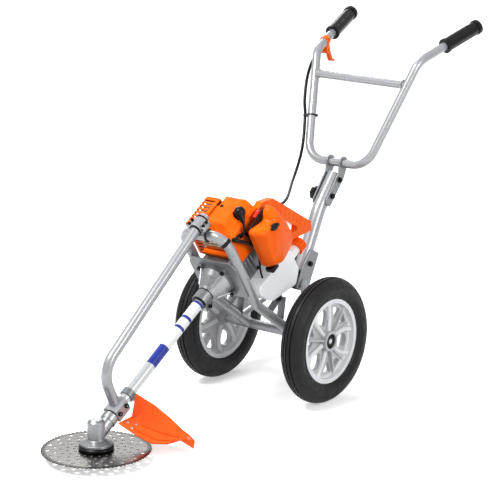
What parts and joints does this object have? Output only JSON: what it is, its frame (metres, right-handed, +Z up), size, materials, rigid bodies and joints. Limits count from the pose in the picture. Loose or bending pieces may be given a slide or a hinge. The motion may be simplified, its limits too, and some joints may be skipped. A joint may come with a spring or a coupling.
{
  "type": "wheeled brush cutter",
  "caption": "Hand-pushed petrol brush cutter: a wheeled tube frame carries a small engine whose shaft drives a flat saw blade in front; a loop handlebar with throttle steers it from behind.",
  "frame": {"origin": "on the ground, at the middle of the machine's length and width", "axes": "+X to the right wheel, +Y back to the handlebar, +Z up; the blade is in front at -Y"},
  "size_m": [0.4378, 1.3909, 0.881],
  "materials": {
    "silver_paint": "smooth silver-grey paint on welded steel tube",
    "grey_paint": "grey paint on folded steel plate",
    "light_paint": "light grey paint on the drive tube",
    "cast_alloy": "die-cast aluminium alloy",
    "blade_steel": "ground saw steel",
    "bare_steel": "zinc-plated and bare steel",
    "muffler_steel": "heat-tinted pressed steel",
    "rim_white": "moulded pale plastic",
    "tyre_rubber": "black solid rubber with grooves",
    "orange_cover": "moulded orange plastic",
    "orange_paint": "orange paint on pressed steel",
    "black_plastic": "black moulded plastic",
    "black_rubber": "black rubber",
    "choke_red": "red moulded plastic",
    "tank_white": "translucent white polyethylene",
    "plug_ceramic": "white glazed ceramic"
  },
  "bodies": {
    "frame": {"axle_tube": "silver_paint", "axle_rod": "bare_steel", "engine_hoop": "silver_paint", "engine_plate": "silver_paint", "tank_brackets": "grey_paint", "tank_pads": "black_rubber", "rear_column": "silver_paint", "column_foot": "grey_paint", "rear_struts": "silver_paint", "frame_fasteners": "bare_steel", "guard_tube": "silver_paint", "upper_clamp": "silver_paint", "lower_clamp": "silver_paint", "drive_tube": "light_paint", "shaft_bushes": "black_plastic", "clutch_housing": "cast_alloy", "gearbox_housing": "cast_alloy", "head_bearings": "bare_steel", "blade_guard": "orange_paint", "guard_bracket": "grey_paint", "crankcase": "cast_alloy", "engine_cylinder": "cast_alloy", "cylinder_cowl": "orange_cover", "muffler": "muffler_steel", "muffler_guard": "orange_cover", "spark_plug": "plug_ceramic", "plug_boot": "black_rubber", "plug_lead": "black_rubber", "carburettor": "cast_alloy", "filter_base": "black_plastic", "filter_cover": "orange_cover", "fuel_tank": "tank_white", "starter_housing": "orange_cover", "rear_loop": "orange_cover", "bar_plates": "grey_paint", "throttle_cable": "black_rubber"},
    "left_wheel": {"left_rim": "rim_white", "left_tyre": "tyre_rubber"},
    "right_wheel": {"right_rim": "rim_white", "right_tyre": "tyre_rubber"},
    "blade": {"bevel_gear": "bare_steel", "blade_arbor": "bare_steel", "blade_adapter": "cast_alloy", "saw_blade": "blade_steel", "support_cup": "cast_alloy", "blade_nut": "bare_steel"},
    "drive_line": {"drive_shaft": "bare_steel", "clutch_drum": "bare_steel", "bevel_pinion": "bare_steel"},
    "crank": {"crankshaft": "bare_steel"},
    "handlebar": {"handlebar": "silver_paint", "left_grip": "black_rubber", "right_grip": "black_rubber", "throttle_body": "orange_cover"},
    "throttle": {"throttle_lever": "orange_cover"},
    "star_knob": {"star_knob": "black_plastic"},
    "filter_knob": {"filter_knob": "black_plastic"},
    "choke": {"choke_lever": "choke_red"},
    "fuel_cap": {"fuel_cap": "orange_cover"},
    "starter_grip": {"starter_grip": "black_plastic"}
  },
  "joints": [
    {"name": "left_wheel_spin", "type": "hinge", "parent": "frame", "child": "left_wheel", "pos_m": [-0.1665, 0.08657, 0.1575], "axis": [1, 0, 0], "continuous": true},
    {"name": "right_wheel_spin", "type": "hinge", "parent": "frame", "child": "right_wheel", "pos_m": [0.1665, 0.08657, 0.1575], "axis": [1, 0, 0], "continuous": true},
    {"name": "blade_spin", "type": "hinge", "parent": "frame", "child": "blade", "pos_m": [0, -0.56443, 0.053], "axis": [0, 0, 1], "continuous": true},
    {"name": "drive_spin", "type": "hinge", "parent": "frame", "child": "drive_line", "pos_m": [0, -0.56443, 0.053], "axis": [0, 0.8462, 0.5329], "continuous": true},
    {"name": "crank_spin", "type": "hinge", "parent": "frame", "child": "crank", "pos_m": [0, -0.11934, 0.33329], "axis": [0, 0.8462, 0.5329], "continuous": true},
    {"name": "bar_tilt", "type": "hinge", "parent": "frame", "child": "handlebar", "pos_m": [0, 0.35857, 0.534], "axis": [1, 0, 0], "range_deg": [-20, 25], "deforming": ["throttle_cable"]},
    {"name": "throttle_pull", "type": "hinge", "parent": "handlebar", "child": "throttle", "pos_m": [-0.16961, 0.53901, 0.78391], "axis": [0.9811, 0.1933, 0], "range_deg": [0, 22], "stiffness_Nm_per_rad": 0.6, "springref_deg": -11.46},
    {"name": "knob_turn", "type": "hinge", "parent": "frame", "child": "star_knob", "pos_m": [0, 0.30832, 0.45784], "axis": [1, 0, 0], "continuous": true},
    {"name": "filter_knob_turn", "type": "hinge", "parent": "frame", "child": "filter_knob", "pos_m": [0.104, -0.04196, 0.46001], "axis": [1, 0, 0], "continuous": true},
    {"name": "choke_turn", "type": "hinge", "parent": "frame", "child": "choke", "pos_m": [0.06, -0.03196, 0.44977], "axis": [1, 0, 0], "range_deg": [0, 60]},
    {"name": "cap_turn", "type": "hinge", "parent": "frame", "child": "fuel_cap", "pos_m": [0.047, 0.13293, 0.36807], "axis": [0, 0.8462, 0.5329], "continuous": true},
    {"name": "starter_pull", "type": "slide", "parent": "frame", "child": "starter_grip", "axis": [0, 0.8462, 0.5329], "range_m": [0, 0.036], "stiffness_N_per_m": 150, "springref_m": -0.03}
  ],
  "couplings": [
    {"joint": "drive_spin", "follows": "blade_spin", "ratio": 1.3571}
  ]
}
